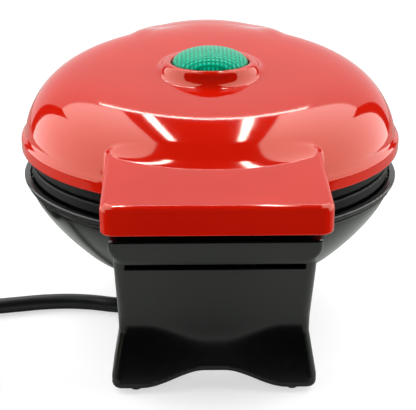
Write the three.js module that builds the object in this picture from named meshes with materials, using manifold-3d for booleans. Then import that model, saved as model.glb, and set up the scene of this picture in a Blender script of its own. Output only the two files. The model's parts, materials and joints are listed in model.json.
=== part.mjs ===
// A small waffle maker: a hinged lid over a bowl-shaped base on two legs, with its mains lead.
// Millimetres, +Z up, +Y to the back. The origin is on the floor, midway along the appliance.
import * as THREE from 'three';
import { mergeVertices } from 'three/addons/utils/BufferGeometryUtils.js';
import Module from 'manifold-3d';

const wasm = await Module();
wasm.setup();

// Driving dimensions
const GAP = 0.3; // clearance between pieces that rest on each other
const WALL = 2.4; // moulded plastic wall
const AXIS_Y = 6.6; // the lid's centre, back from the middle of the length
const PARTING_Z = 59.6; // plane between the lid and the base
const PARTING_GAP = 0.4; // each side's distance from that plane

const LID_Z = 64.2; // lower edge of the lid cover
const LIP_HEIGHT = 6; // rounded lip round the lid cover's edge
const LID_RADIUS = 63.8;
const LID_RISE = 19.5; // dome height above the lip
const LID_LEAN = 0.0075; // the dome's extra height for each millimetre towards the back
const DOME_R_POWER = 7.6;
const DOME_Z_POWER = 1.454;

const HANDLE_HALF = 32.9;
const HANDLE_FRONT = -88;
const HANDLE_BACK = -55.6;
const HANDLE_FRONT_RISE = 7.5; // top of the handle above the lid's edge, at its front
const HANDLE_BACK_RISE = 12.8;
const HANDLE_HANG = 0.6; // how far the handle's front wall reaches below the lid's edge

const HUMP_HALF = 28; // hump over the hinge
const HUMP_BACK = 74.8;
const HUMP_RISE = 31.2;
const HUMP_LOW_Z = 62;

const LENS_RADIUS = 13.05;
const LENS_CROWN = 5.3; // top of the lens above its ring
const LENS_DEPTH = 4.4; // the lens's seat below the ring's top
const LENS_RING_RADIUS = 16;
const LENS_RING_RISE = 28;

const RING_RADIUS = 62.2; // black rings either side of the parting
const RING_INNER = 52.6;
const RING_DEPTH = 10.4; // the rings' skirts, from the parting
const UPPER_SKIRT = 61;
const LOWER_SKIRT = 58.4;
const SCREW_CIRCLE = 56.2; // screws that hold the upper ring in the lid

const PLATE_RADIUS = 52.2;
const POCKET_RADIUS = 49.2;
const POCKET_DEPTH = 6.5;
const PLATE_FLOOR = 2.2;
const RIDGE_PITCH = 13;
const RIDGE_LOW = 4.6; // width of a ridge at its foot
const RIDGE_TOP = 2.6;
const RIDGE_BELOW_PARTING = 3.1;
const RIDGE_PLACES = [-2.5, -1.5, -0.5, 0.5, 1.5, 2.5];
const BOSS_CIRCLE = 20; // screws that hold the plates and their shields
const BOSS_END = 16.2;
const HEATER_RADIUS = 30;
const HEATER_DEPTH = 12.6; // heater's middle, from the parting
const SHIELD_DEPTH = 17;
const SHIELD_RADIUS = 48.6;

const BOWL_TOP_Z = 55.3;
const BOWL_BOTTOM_Z = 21.5;
const TAB_HALF = 31.6;
const TAB_FRONT = -75.6;
const TAB_LEAN = 3; // how far the tab's face falls back from its top to its lower edge
const TAB_TOP_Z = 57.2;
const TAB_LOW_Z = 48.2;

const LEG_INNER_Y = 48; // face of each leg under the bowl, from the lid's centre
const LEG_HALF = 30.2;
const LEG_FOOT_HALF = 32.7;
const LEG_TOP_Z = 50;
const LEG_HOLLOW_HALF = 27.2;
const LEG_HOLLOW_Z = 46;
const ARCH_Z = 7.2; // top of the arch between a leg's two feet
const FOOT_HEIGHT = 1.5;
const FOOT_X = 25;
const FOOT_Y = 60.5;

const HINGE_Y = 68;
const KNUCKLE_RADIUS = 4.2;
const KNUCKLE_HALF = 2.3;
const BASE_KNUCKLE_X = 11.4;
const LID_KNUCKLE_X = 16.8;
const PIN_RADIUS = 1.5;
const PIN_BORE = 1.6;

const CORD_RADIUS = 2.8;
const LEAD_RADIUS = 1.7; // sleeved leads inside the housings
const STRAIN_RELIEF_LENGTH = 20;
const CORD_EXIT_Z = 9.5;
const COIL_X = -124;
const COIL_Y = 33.4;
const COIL_INNER = 19.8;
const COIL_OUTER = 37.4;
const COIL_HEIGHT = 5.8;
const PLUG_X = -92.6;
const PLUG_NECK_Y = -26;
const PLUG_Z = 7.6;
const PLUG_HALF = 12.4;
const PLUG_END = -38; // from the neck's tip
const BLADE_X = 6.35;
const BLADE_LENGTH = 15.8;
// The lead's stretch on the floor, from the strain relief to the coil, in the appliance's frame.
const CORD_ROUTE = [
  [0, 33.9, 9.5],
  [0, 29, 9.4],
  [-0.4, 23, 8.8],
  [-1.9, 16.4, 7.6],
  [-5.3, 9.9, 6.0],
  [-10.8, 4.4, 4.4],
  [-17.7, 0.8, 3.3],
  [-25.5, -0.5, 2.95],
  [-34.4, 0.2, 2.95],
  [-43.5, 2.5, 2.95],
  [-52, 3.5, 2.95],
  [-61, 3.0, 2.95],
  [-69.5, 1.4, 2.95],
  [-78, -0.2, 2.95],
  [-87, -1.0, 2.95],
  [-95.5, -1.1, 2.95],
  [-103.3, -0.9, 2.95],
];
// The lead's last stretch, from the inside of the coil over its turns and the first stretch to the plug.
const CORD_TAIL = [
  [-100.6, 20, 8.95],
  [-99, 12, 9.05],
  [-96.6, 3, 9.0],
  [-94.2, -6, 8.8],
  [-92.9, -15.5, 8.2],
  [PLUG_X, -25.7, 7.6],
];

// Materials
function surface(color, roughness, metalness = 0) {
  return new THREE.MeshStandardMaterial({ color, roughness, metalness });
}
const redPlastic = () => surface(0xd3190c, 0.08);
const blackPlastic = () => surface(0x0b0d0c, 0.3);
const heatproofPlastic = () => surface(0x141515, 0.55);
const castAluminium = () => surface(0x26282a, 0.5, 0.6);
const sheetSteel = () => surface(0xb5b8ba, 0.35, 1);
const screwSteel = () => surface(0x8f9396, 0.3, 1);
const greenLens = () => surface(0x0cc792, 0.1);
const lampGlass = () => surface(0xe8d8c8, 0.1);
const rubber = () => surface(0x101010, 0.8);
const leadPlastic = () => surface(0x0a0a0a, 0.45);
const brass = () => surface(0xc9a34a, 0.3, 1);

// Solids
function solid(geometry) {
  const bare = geometry.clone();
  bare.deleteAttribute('normal');
  bare.deleteAttribute('uv');
  const merged = mergeVertices(bare, 1e-4);
  const corners = merged.index.array;
  const kept = [];
  for (let i = 0; i < corners.length; i += 3) {
    const [a, b, c] = [corners[i], corners[i + 1], corners[i + 2]];
    if (a !== b && b !== c && c !== a) kept.push(a, b, c);
  }
  if (signedVolume(merged.attributes.position, kept) < 0) kept.reverse();
  const vertProperties = new Float32Array(merged.attributes.position.array);
  const triVerts = new Uint32Array(kept);
  return new wasm.Manifold(new wasm.Mesh({ numProp: 3, vertProperties, triVerts }));
}

function signedVolume(position, corners) {
  const [a, b, c] = [new THREE.Vector3(), new THREE.Vector3(), new THREE.Vector3()];
  let volume = 0;
  for (let i = 0; i < corners.length; i += 3) {
    a.fromBufferAttribute(position, corners[i]);
    b.fromBufferAttribute(position, corners[i + 1]);
    c.fromBufferAttribute(position, corners[i + 2]);
    volume += a.dot(b.cross(c));
  }
  return volume;
}

function join(...solids) {
  return solids.reduce((whole, next) => whole.add(next));
}

function geometryOf(shape) {
  const mesh = shape.getMesh();
  const geometry = new THREE.BufferGeometry();
  geometry.setAttribute('position', new THREE.BufferAttribute(mesh.vertProperties, 3));
  geometry.setIndex(new THREE.BufferAttribute(mesh.triVerts, 1));
  const faceted = geometry.toNonIndexed();
  faceted.computeVertexNormals();
  return faceted;
}

// A profile of [radius, height] turned about Z. One that stays off the axis is closed on itself.
function turned(profile, sides = 48) {
  const points = profile.map(([r, z]) => new THREE.Vector2(r, z));
  if (profile[0][0] > 0) points.push(points[0].clone());
  return solid(new THREE.LatheGeometry(points, sides).rotateX(Math.PI / 2));
}

function disc(radius, low, high, sides = 24) {
  return turned([[0, low], [radius, low], [radius, high], [0, high]], sides);
}

function rod(radius, from, to, sides = 16) {
  const [start, end] = [new THREE.Vector3(...from), new THREE.Vector3(...to)];
  const geometry = new THREE.CylinderGeometry(radius, radius, start.distanceTo(end), sides);
  const along = end.clone().sub(start).normalize();
  geometry.applyQuaternion(new THREE.Quaternion().setFromUnitVectors(new THREE.Vector3(0, 1, 0), along));
  const middle = start.add(end).multiplyScalar(0.5);
  return solid(geometry.translate(middle.x, middle.y, middle.z));
}

function block([x0, y0, z0], [x1, y1, z1]) {
  const geometry = new THREE.BoxGeometry(x1 - x0, y1 - y0, z1 - z0);
  return solid(geometry.translate((x0 + x1) / 2, (y0 + y1) / 2, (z0 + z1) / 2));
}

function outline(points) {
  return new THREE.Shape(points.map(([a, b]) => new THREE.Vector2(a, b)));
}

// A closed outline with each corner [a, b, radius] rounded.
function rounded(corners, steps = 3) {
  const shape = [];
  corners.forEach(([a, b, radius = 0], i) => {
    const here = new THREE.Vector2(a, b);
    const before = new THREE.Vector2(...corners[(i + corners.length - 1) % corners.length]);
    const after = new THREE.Vector2(...corners[(i + 1) % corners.length]);
    if (radius === 0) {
      shape.push(here);
      return;
    }
    const start = here.clone().add(before.sub(here).setLength(radius));
    const end = here.clone().add(after.sub(here).setLength(radius));
    const bend = new THREE.QuadraticBezierCurve(start, here, end);
    shape.push(...bend.getPoints(steps));
  });
  return new THREE.Shape(shape);
}

function extruded(shape, from, to, basis) {
  const settings = { depth: to - from, bevelEnabled: false, curveSegments: 4 };
  const geometry = new THREE.ExtrudeGeometry(shape, settings).translate(0, 0, from);
  return solid(geometry.applyMatrix4(new THREE.Matrix4().makeBasis(...basis)));
}
const [X, Y, Z] = [new THREE.Vector3(1, 0, 0), new THREE.Vector3(0, 1, 0), new THREE.Vector3(0, 0, 1)];
const alongX = (shape, from, to) => extruded(shape, from, to, [Y, Z, X]);
const alongY = (shape, from, to) => extruded(shape, -to, -from, [X, Z, Y.clone().negate()]);
const alongZ = (shape, from, to) => extruded(shape, from, to, [X, Y, Z]);

// A round tube along a smooth path.
function tube(points, radius, sides, steps) {
  const path = new THREE.CatmullRomCurve3(points.map((p) => new THREE.Vector3(...p)));
  const section = new THREE.Shape().absarc(0, 0, radius, 0, 2 * Math.PI);
  section.closePath();
  const ring = new THREE.Shape(section.getPoints(sides / 2).slice(0, sides));
  return solid(new THREE.ExtrudeGeometry(ring, { steps, extrudePath: path, bevelEnabled: false }));
}

// Places round a circle, the first of them at the front.
function around(count, radius) {
  return Array.from({ length: count }, (_, i) => {
    const angle = THREE.MathUtils.degToRad((360 / count) * i - 90);
    return [radius * Math.cos(angle), radius * Math.sin(angle)];
  });
}

// Groups: the lid turns on the hinge, the rest stands on the feet.
const lid = new THREE.Group();
const base = new THREE.Group();
const lead = new THREE.Group();
lid.position.y = AXIS_Y;
base.position.y = AXIS_Y;

function place(group, name, shape, material) {
  const mesh = new THREE.Mesh(geometryOf(shape), material);
  mesh.name = name;
  group.add(mesh);
}

// Lid cover
function dome(radius, rise, edge, steps, sides) {
  const profile = [...edge];
  for (let i = 0; i <= steps; i += 1) {
    const t = (Math.PI / 2) * (i / steps);
    const r = i === steps ? 0 : radius * Math.cos(t) ** (2 / DOME_R_POWER);
    profile.push([r, LID_Z + LIP_HEIGHT + rise * Math.sin(t) ** (2 / DOME_Z_POWER)]);
  }
  const points = profile.map(([r, z]) => new THREE.Vector2(r, z));
  const geometry = new THREE.LatheGeometry(points, sides).rotateX(Math.PI / 2);
  const { position } = geometry.attributes;
  const low = LID_Z + LIP_HEIGHT;
  for (let i = 0; i < position.count; i += 1) {
    const above = Math.max(position.getZ(i) - low, 0);
    position.setZ(i, position.getZ(i) + above * LID_LEAN * position.getY(i));
  }
  return solid(geometry);
}

function domeOutside() {
  const edge = [[0, 0], [64, 0], [65.1, 1.1], [65.4, 2.6], [64.9, 4.7]];
  return dome(LID_RADIUS, LID_RISE, edge.map(([r, z]) => [r, LID_Z + z]), 10, 56);
}

function domeInside() {
  const radius = LID_RADIUS - WALL;
  return dome(radius, LID_RISE - WALL, [[0, LID_Z - 1], [radius, LID_Z - 1]], 6, 40);
}

function hump(inset) {
  const half = HUMP_HALF - inset;
  const crown = LID_Z + HUMP_RISE - inset;
  const low = inset > 0 ? LID_Z - 4 : HUMP_LOW_Z;
  const right = [[half, crown - 9], [half - 1.2, crown - 5.6], [half - 5, crown - 3.4], [13, crown - 1]];
  const left = right.map(([x, z]) => [-x, z]).reverse();
  const front = [[-half, low], [half, low], ...right, [0, crown], ...left];
  const back = HUMP_BACK - inset;
  const side = [
    [38, low], [back, low], [back, crown - 9], [back - 1.1, crown - 5.6], [back - 4.4, crown - 3.4],
    [65, crown - 2], [60, crown - 1], [50, crown], [44, crown - 0.3], [38, crown - 1.8],
  ];
  return alongY(outline(front), 30, 80).intersect(alongX(outline(side), -40, 40));
}

function handle(inset) {
  const half = HANDLE_HALF - inset;
  const [front, back] = [HANDLE_FRONT + inset, HANDLE_BACK - inset];
  const plan = rounded([[-half, back, 1.5], [-half, front, 4], [half, front, 4], [half, back, 1.5]]);
  const slope = (HANDLE_BACK_RISE - HANDLE_FRONT_RISE) / (HANDLE_BACK - HANDLE_FRONT);
  const top = (y) => LID_Z + HANDLE_FRONT_RISE + slope * (y - HANDLE_FRONT) - inset;
  const hollow = inset > 0;
  const lowEdge = hollow ? [[back, LID_Z - 4], [front, LID_Z - 4]] : [[back, LID_Z], [front, LID_Z - HANDLE_HANG, 1]];
  const side = rounded([...lowEdge, [front, top(front), 2.6], [back, top(back), 1.2]]);
  return alongZ(plan, LID_Z - 6, LID_Z + 16).intersect(alongX(side, -40, 40));
}

function lidCover() {
  const outside = join(domeOutside(), hump(0), handle(0));
  const inside = join(domeInside(), hump(WALL), handle(WALL), backOfHandle());
  const ring = turned([
    [0, LID_Z + 20], [LENS_RING_RADIUS + 1.2, LID_Z + 20], [LENS_RING_RADIUS + 1.2, LID_Z + 24],
    [LENS_RING_RADIUS, LID_Z + 25.4], [LENS_RING_RADIUS, LID_Z + LENS_RING_RISE - 0.8],
    [LENS_RING_RADIUS - 0.8, LID_Z + LENS_RING_RISE], [0, LID_Z + LENS_RING_RISE],
  ]);
  const underDome = (y) => LID_Z + 15.4 + 0.09 * y;
  const towers = around(3, SCREW_CIRCLE).map(([x, y]) => rod(2.6, [x, y, 69.4], [x, y, underDome(y)], 12));
  const shell = join(outside.subtract(inside), ring, ...towers);
  const bores = around(3, SCREW_CIRCLE).map(([x, y]) => rod(1.3, [x, y, 60], [x, y, 75], 8));
  const overRing = disc(RING_RADIUS + GAP, 58, LID_Z, 64);
  return shell.subtract(join(disc(LENS_RADIUS + GAP, 60, 110, 28), overRing, ...bores));
}

// The lid's edge wall is cut away where the handle's hollow opens into the dome.
function backOfHandle() {
  return block([-20, -70, LID_Z - 4], [20, -56, LID_Z + 5]);
}

// Indicator
function indicatorLens() {
  const top = LID_Z + LENS_RING_RISE;
  const shoulder = top - 0.8;
  const height = LENS_CROWN + 0.8;
  const ball = (LENS_RADIUS ** 2 + height ** 2) / (2 * height);
  const widest = Math.asin(LENS_RADIUS / ball);
  const crown = [1, 0.75, 0.5, 0.25].map((share) => {
    const tilt = widest * share;
    return [ball * Math.sin(tilt), shoulder + height - ball * (1 - Math.cos(tilt))];
  });
  const seat = top - LENS_DEPTH;
  return turned([[0, seat], [LENS_RADIUS, seat], ...crown, [0, top + LENS_CROWN]], 28);
}

function lensRetainer() {
  const high = LID_Z + LENS_RING_RISE - LENS_DEPTH - GAP;
  const ring = turned([[9.6, high - 2.6], [LENS_RADIUS, high - 2.6], [LENS_RADIUS, high], [9.6, high]], 20);
  const clips = [-1, 1].map((side) => block([side * 10.8 - 1, -2, high - 7], [side * 10.8 + 1, 2, high - 1]));
  const holder = block([-11.4, -4.4, high - 8.4], [11.4, 4.4, high - 6.8]);
  return join(ring, ...clips, holder);
}

function neonLamp() {
  const z = LID_Z + LENS_RING_RISE - 8.1;
  return rod(2.2, [-5.5, 0, z], [5.5, 0, z], 12);
}

// Rings that carry the plates. The profile's heights count away from the parting, up or down.
function mirroredProfile(profile, side) {
  return profile.map(([r, away]) => [r, PARTING_Z + side * away]);
}

function ringBody(side, outerHeight, skirt) {
  const profile = [
    [RING_INNER, PARTING_GAP], [RING_RADIUS, PARTING_GAP], [RING_RADIUS, outerHeight], [skirt, outerHeight],
    [skirt, RING_DEPTH], [skirt - 1.8, RING_DEPTH], [skirt - 1.8, 3], [RING_INNER, 3],
  ];
  return turned(mirroredProfile(profile, side));
}

function knuckle(x, side) {
  const [left, right] = [x - KNUCKLE_HALF, x + KNUCKLE_HALF];
  const round = rod(KNUCKLE_RADIUS, [left, HINGE_Y, PARTING_Z], [right, HINGE_Y, PARTING_Z]);
  const [near, far] = side > 0 ? [PARTING_GAP, 6.2] : [-9, -PARTING_GAP];
  const arm = block([left, 57.5, PARTING_Z + near], [right, HINGE_Y - 0.6, PARTING_Z + far]);
  return join(round, arm);
}

function knuckleBores() {
  return rod(PIN_BORE, [-30, HINGE_Y, PARTING_Z], [30, HINGE_Y, PARTING_Z]);
}

function upperInnerRing() {
  const lugs = around(3, SCREW_CIRCLE).map(([x, y]) => rod(4, [x, y, 67], [x, y, 69], 12));
  const holes = around(3, SCREW_CIRCLE).map(([x, y]) => rod(1.7, [x, y, 64], [x, y, 72], 12));
  const leadNotch = block([-3, 50, PARTING_Z], [3, 66, 80]);
  const knuckles = [-1, 1].map((hand) => knuckle(hand * LID_KNUCKLE_X, 1));
  const whole = join(ringBody(1, 4.3, UPPER_SKIRT), ...lugs, ...knuckles);
  return whole.subtract(join(...holes, leadNotch, knuckleBores()));
}

function lowerInnerRing() {
  return ringBody(-1, 4, LOWER_SKIRT).subtract(block([-3, 50, 40], [3, 66, PARTING_Z]));
}

function handleLiner() {
  const low = LID_Z + 1.6;
  const half = HANDLE_HALF - WALL - GAP;
  const front = HANDLE_FRONT + WALL + GAP;
  const plan = rounded([[-half, -60], [-half, front, 3], [half, front, 3], [half, -60]]);
  return alongZ(plan, low, low + 2).subtract(disc(64.4 + GAP, 60, 72, 64));
}

// Cast plates with a square grid. side is -1 for the lower plate and 1 for the upper.
function ridge(side) {
  const [foot, crest] = [POCKET_DEPTH + PARTING_GAP + 0.4, RIDGE_BELOW_PARTING];
  const [wide, narrow] = [RIDGE_LOW / 2, RIDGE_TOP / 2];
  const section = [[-wide, foot], [wide, foot], [narrow, crest], [-narrow, crest]];
  return outline(section.map(([a, away]) => [a, PARTING_Z + side * away]));
}

function wafflePlate(side) {
  const floor = PARTING_GAP + POCKET_DEPTH;
  const back = floor + PLATE_FLOOR;
  const flange = PARTING_GAP + 2.2;
  const profile = [
    [0, floor], [POCKET_RADIUS - 1.5, floor], [POCKET_RADIUS, PARTING_GAP], [PLATE_RADIUS, PARTING_GAP],
    [PLATE_RADIUS, flange], [POCKET_RADIUS + 1.6, flange], [POCKET_RADIUS + 0.4, back], [0, back],
  ];
  const places = RIDGE_PLACES.map((n) => n * RIDGE_PITCH);
  const rows = places.map((x) => alongY(ridge(side), -50, 50).translate([x, 0, 0]));
  const columns = places.map((y) => alongX(ridge(side), -50, 50).translate([0, y, 0]));
  const inPocket = disc(POCKET_RADIUS - 0.8, 40, 80, 40);
  const grid = join(...rows, ...columns).intersect(inPocket);
  const bosses = around(3, BOSS_CIRCLE).map(([x, y]) => {
    const [near, far] = [PARTING_Z + side * (back - 0.4), PARTING_Z + side * BOSS_END];
    const bore = rod(1.3, [x, y, near + side * 1.4], [x, y, far + side], 8);
    return rod(3.6, [x, y, near], [x, y, far], 12).subtract(bore);
  });
  return join(turned(mirroredProfile(profile, side), 40), grid, ...bosses);
}

// Tubular heater: an open ring with two upright ends.
function heatingElement(side) {
  const z = PARTING_Z + side * HEATER_DEPTH;
  const path = [];
  for (let angle = -75; angle <= 255; angle += 15) {
    const turn = THREE.MathUtils.degToRad(angle);
    path.push([HEATER_RADIUS * Math.cos(turn), HEATER_RADIUS * Math.sin(turn), z]);
  }
  const upright = ([x, y]) => rod(1.6, [x, y, z], [x, y, z + side * 6.5], 8);
  const ends = [path[0], path[path.length - 1]].map(upright);
  return join(tube(path, 2.9, 6, 22), ...ends);
}

function heatShield(side) {
  const [near, far] = [SHIELD_DEPTH, SHIELD_DEPTH + 1];
  const rim = SHIELD_RADIUS;
  const profile = [
    [0, near], [rim - 2.6, near], [rim - 1, near - 2], [rim, near - 2], [rim - 2, far], [0, far],
  ];
  const screws = around(3, BOSS_CIRCLE).map(([x, y]) => rod(1.8, [x, y, 30], [x, y, 90], 8));
  const ends = [-1, 1].map((hand) => rod(4, [hand * 7.8, -29, 30], [hand * 7.8, -29, 90], 8));
  return turned(mirroredProfile(profile, side), 36).subtract(join(...screws, ...ends));
}

function screw(x, y, headZ, tipZ, headRadius = 2.8) {
  const into = Math.sign(tipZ - headZ);
  const head = rod(headRadius, [x, y, headZ], [x, y, headZ + into * 1.8], 12);
  return join(head, rod(1.15, [x, y, headZ + into], [x, y, tipZ], 8));
}

// Base housing: bowl, front tab, two hollow legs and the hinge's fixed knuckles in one moulding.
const BOWL_OUTSIDE = [
  [64.4, BOWL_TOP_Z], [65, 54.6], [64.8, 53.5], [63.1, 52.7], [61.9, 50], [60.1, 46], [57.3, 41.2],
  [53.6, 36.4], [48.6, 31.4], [42.4, 26.9], [34.6, 23.3], [24.5, BOWL_BOTTOM_Z], [0, BOWL_BOTTOM_Z],
];
const BOWL_INSIDE = [
  [60.5, BOWL_TOP_Z + 3], [59.7, 50.4], [55.8, 42.9], [50, 35.8], [41, 28.9], [33.6, 25.6],
  [24, BOWL_BOTTOM_Z + WALL], [0, BOWL_BOTTOM_Z + WALL],
];

function legOutside(side) {
  const right = [
    [10, ARCH_Z, 8], [21, FOOT_HEIGHT, 6], [LEG_FOOT_HALF - 0.4, FOOT_HEIGHT, 2.4], [LEG_FOOT_HALF, 4.6],
    [LEG_HALF, 19.5, 3], [LEG_HALF + 0.4, LEG_TOP_Z],
  ];
  const left = right.map(([x, z, radius]) => [-x, z, radius]).reverse();
  const front = rounded([...right, ...left]);
  const profile = [
    [LEG_INNER_Y, 1], [63, 1], [63, 4.4], [61.4, 17], [62.2, 24], [71, 46],
    [71, LEG_TOP_Z], [LEG_INNER_Y, LEG_TOP_Z],
  ];
  const facing = outline(profile.map(([y, z]) => [side * y, z]));
  return alongY(front, -80, 80).intersect(alongX(facing, -40, 40));
}

function legHollow(side) {
  const inner = LEG_INNER_Y + WALL;
  const half = LEG_HOLLOW_HALF;
  const profile = [
    [inner, -1], [60.4, -1], [59, 17], [59.8, 24], [67, 43], [64, LEG_HOLLOW_Z], [inner, LEG_HOLLOW_Z],
  ];
  const facing = outline(profile.map(([y, z]) => [side * y, z]));
  return block([-half, -80, -1], [half, 80, LEG_HOLLOW_Z]).intersect(alongX(facing, -40, 40));
}

function tab() {
  const front = rounded([
    [-TAB_HALF, TAB_TOP_Z], [-TAB_HALF, TAB_LOW_Z, 6], [TAB_HALF, TAB_LOW_Z, 6], [TAB_HALF, TAB_TOP_Z],
  ]);
  const side = rounded([
    [TAB_FRONT, TAB_TOP_Z, 0.8], [TAB_FRONT + TAB_LEAN, TAB_LOW_Z, 1.6], [-52, TAB_LOW_Z - 4], [-52, TAB_TOP_Z],
  ]);
  return alongY(front, -80, -50).intersect(alongX(side, -40, 40));
}

function baseHousing() {
  const outside = turned([[0, BOWL_TOP_Z], ...BOWL_OUTSIDE]);
  const inside = turned([[0, BOWL_TOP_Z + 3], ...BOWL_INSIDE]);
  const legs = [-1, 1].map((side) => legOutside(side).subtract(legHollow(side).subtract(outside)));
  const arms = join(knuckle(-BASE_KNUCKLE_X, -1), knuckle(BASE_KNUCKLE_X, -1));
  const ledge = block([-14, 60.6, 46], [14, HINGE_Y - 1.6, 51]);
  const towers = around(3, BOSS_CIRCLE).map(([x, y]) => rod(4, [x, y, 22.7], [x, y, 41], 12));
  const recesses = around(3, BOSS_CIRCLE).map(([x, y]) => rod(3, [x, y, 10], [x, y, 34], 12));
  const holes = around(3, BOSS_CIRCLE).map(([x, y]) => rod(1.7, [x, y, 30], [x, y, 46], 8));
  const shell = join(outside, tab(), ...legs, ledge, arms).subtract(inside);
  const leadNotch = block([-3, 52, 48], [3, HINGE_Y - 1, PARTING_Z + 1]);
  const overRing = disc(62.7, BOWL_TOP_Z - 0.8, 70, 48);
  const reliefHole = rod(4.3, [0, 40, CORD_EXIT_Z], [0, 55, CORD_EXIT_Z]);
  const cuts = join(...recesses, ...holes, leadNotch, overRing, reliefHole, knuckleBores());
  return join(shell, ...towers).subtract(cuts);
}

function foot(x, y) {
  const profile = [[0, 0], [1.8, 0], [2.3, FOOT_HEIGHT - GAP], [0, FOOT_HEIGHT - GAP]];
  return turned(profile, 16).translate([x, y, 0]);
}

// Electrical parts in the base
function thermostat() {
  return join(disc(8, 43.9, 50, 24), block([-12, -3, 45], [-7, 3, 46.2]), block([7, -3, 45], [12, 3, 46.2]));
}

function thermostatBracket() {
  const strap = block([-19, -4, 42.9], [19, 4, 43.6]);
  const feet = [-1, 1].map((side) => block([side * 17.5 - 1.5, -4, 42.9], [side * 17.5 + 1.5, 4, 50.1]));
  return join(strap, ...feet);
}

function thermalFuse(z) {
  return join(rod(2, [-6, 17, z], [6, 17, z], 12), rod(0.5, [-14, 17, z], [14, 17, z], 6));
}

function wireConnector(x) {
  return turned([[0, 27], [3.4, 27], [3.4, 33], [2.2, 41], [0, 41]], 12).translate([x, 26, 0]);
}

function cordClamp() {
  return join(block([-10, 51.2, 18], [10, 53.4, 23]), block([-4, 51.2, 16], [4, 53.4, 24.5]));
}

function strainRelief() {
  const relief = [[0, 0], [4.1, 0], [3.3, STRAIN_RELIEF_LENGTH], [0, STRAIN_RELIEF_LENGTH]];
  const flange = [[0, -4.2], [5.6, -4.2], [5.6, -2.7], [4, -2.7], [4, 0.2], [0, 0.2]];
  return join(turned(relief, 16), turned(flange, 16))
    .rotate([90, 0, 0])
    .translate([0, LEG_INNER_Y - GAP, CORD_EXIT_Z]);
}

// Mains plug: a moulded body with a tapered neck and two flat blades.
function plugBody() {
  const neck = turned([[0, 0], [3.2, 0], [4.6, 13], [0, 13]], 16)
    .rotate([90, 0, 0])
    .translate([PLUG_X, PLUG_NECK_Y, PLUG_Z]);
  const left = [[-6, -11.4, 2], [-PLUG_HALF, -18, 4], [-PLUG_HALF, PLUG_END, 1]];
  const right = left.map(([x, y, radius]) => [-x, y, radius]).reverse();
  const body = alongZ(rounded([...left, ...right]), -7.2, 7.2).translate([PLUG_X, PLUG_NECK_Y, PLUG_Z]);
  return join(neck, body);
}

function plugBlade(side) {
  const x = PLUG_X + side * BLADE_X;
  const front = PLUG_NECK_Y + PLUG_END - GAP;
  const blade = block([x - 0.75, front - BLADE_LENGTH, PLUG_Z - 3.2], [x + 0.75, front, PLUG_Z + 3.2]);
  return blade.subtract(rod(1.6, [x - 3, front - 11.5, PLUG_Z], [x + 3, front - 11.5, PLUG_Z], 8));
}

function cordCoil() {
  const profile = [
    [COIL_INNER + 1, 0.1], [COIL_OUTER - 1, 0.1], [COIL_OUTER, 1.2], [COIL_OUTER, 4.6],
    [COIL_OUTER - 1, COIL_HEIGHT], [COIL_INNER + 1, COIL_HEIGHT], [COIL_INNER, 4.6], [COIL_INNER, 1.2],
  ];
  return turned(profile, 28).translate([COIL_X, COIL_Y, 0]);
}

// Lid pieces
place(lid, 'lid_cover', lidCover(), redPlastic());
place(lid, 'indicator_lens', indicatorLens(), greenLens());
place(lid, 'lens_retainer', lensRetainer(), heatproofPlastic());
place(lid, 'neon_lamp', neonLamp(), lampGlass());
place(lid, 'upper_inner_ring', upperInnerRing(), heatproofPlastic());
place(lid, 'handle_liner', handleLiner(), blackPlastic());
place(lid, 'upper_waffle_plate', wafflePlate(1), castAluminium());
place(lid, 'upper_heating_element', heatingElement(1), sheetSteel());
place(lid, 'upper_heat_shield', heatShield(1), sheetSteel());
place(lid, 'upper_thermal_fuse', thermalFuse(71.6), sheetSteel());
around(3, SCREW_CIRCLE).forEach(([x, y], i) => {
  place(lid, `lid_screw_${i + 1}`, screw(x, y, 64.9, 73.6), screwSteel());
});
around(3, BOSS_CIRCLE).forEach(([x, y], i) => {
  place(lid, `upper_plate_screw_${i + 1}`, screw(x, y, 79.8, 70.6), screwSteel());
});
const lidLeadRoute = [[0, 64.9, 62.6], [0, 63.6, 66], [0, 59, 71], [0, 51, 79.5], [0, 42, 80.5]];
place(lid, 'lid_lead', tube(lidLeadRoute, LEAD_RADIUS, 8, 12), leadPlastic());

// Base pieces
place(base, 'base_housing', baseHousing(), blackPlastic());
place(base, 'lower_inner_ring', lowerInnerRing(), heatproofPlastic());
place(base, 'lower_waffle_plate', wafflePlate(-1), castAluminium());
place(base, 'lower_heating_element', heatingElement(-1), sheetSteel());
place(base, 'lower_heat_shield', heatShield(-1), sheetSteel());
place(base, 'thermostat', thermostat(), sheetSteel());
place(base, 'thermostat_bracket', thermostatBracket(), sheetSteel());
place(base, 'lower_thermal_fuse', thermalFuse(47.6), sheetSteel());
around(3, BOSS_CIRCLE).forEach(([x, y], i) => {
  place(base, `base_screw_${i + 1}`, screw(x, y, 31.9, 48), screwSteel());
});
[-1, 1].forEach((side) => {
  const hand = side < 0 ? 'left' : 'right';
  const pin = rod(PIN_RADIUS, [side * 8.6, HINGE_Y, PARTING_Z], [side * 20, HINGE_Y, PARTING_Z]);
  place(base, `hinge_pin_${hand}`, pin, screwSteel());
  place(base, `front_foot_${hand}`, foot(side * FOOT_X, -FOOT_Y), rubber());
  place(base, `rear_foot_${hand}`, foot(side * FOOT_X, FOOT_Y), rubber());
  place(base, `wire_connector_${hand}`, wireConnector(side * 12), leadPlastic());
});
const baseLeadRoute = [[0, 40, 32.6], [0, 50, 40.4], [0, 56.2, 49.4], [0, 64.6, 56.8]];
place(base, 'base_lead', tube(baseLeadRoute, LEAD_RADIUS, 8, 10), leadPlastic());
place(base, 'cord_clamp', cordClamp(), heatproofPlastic());
place(base, 'strain_relief', strainRelief(), leadPlastic());

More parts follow.
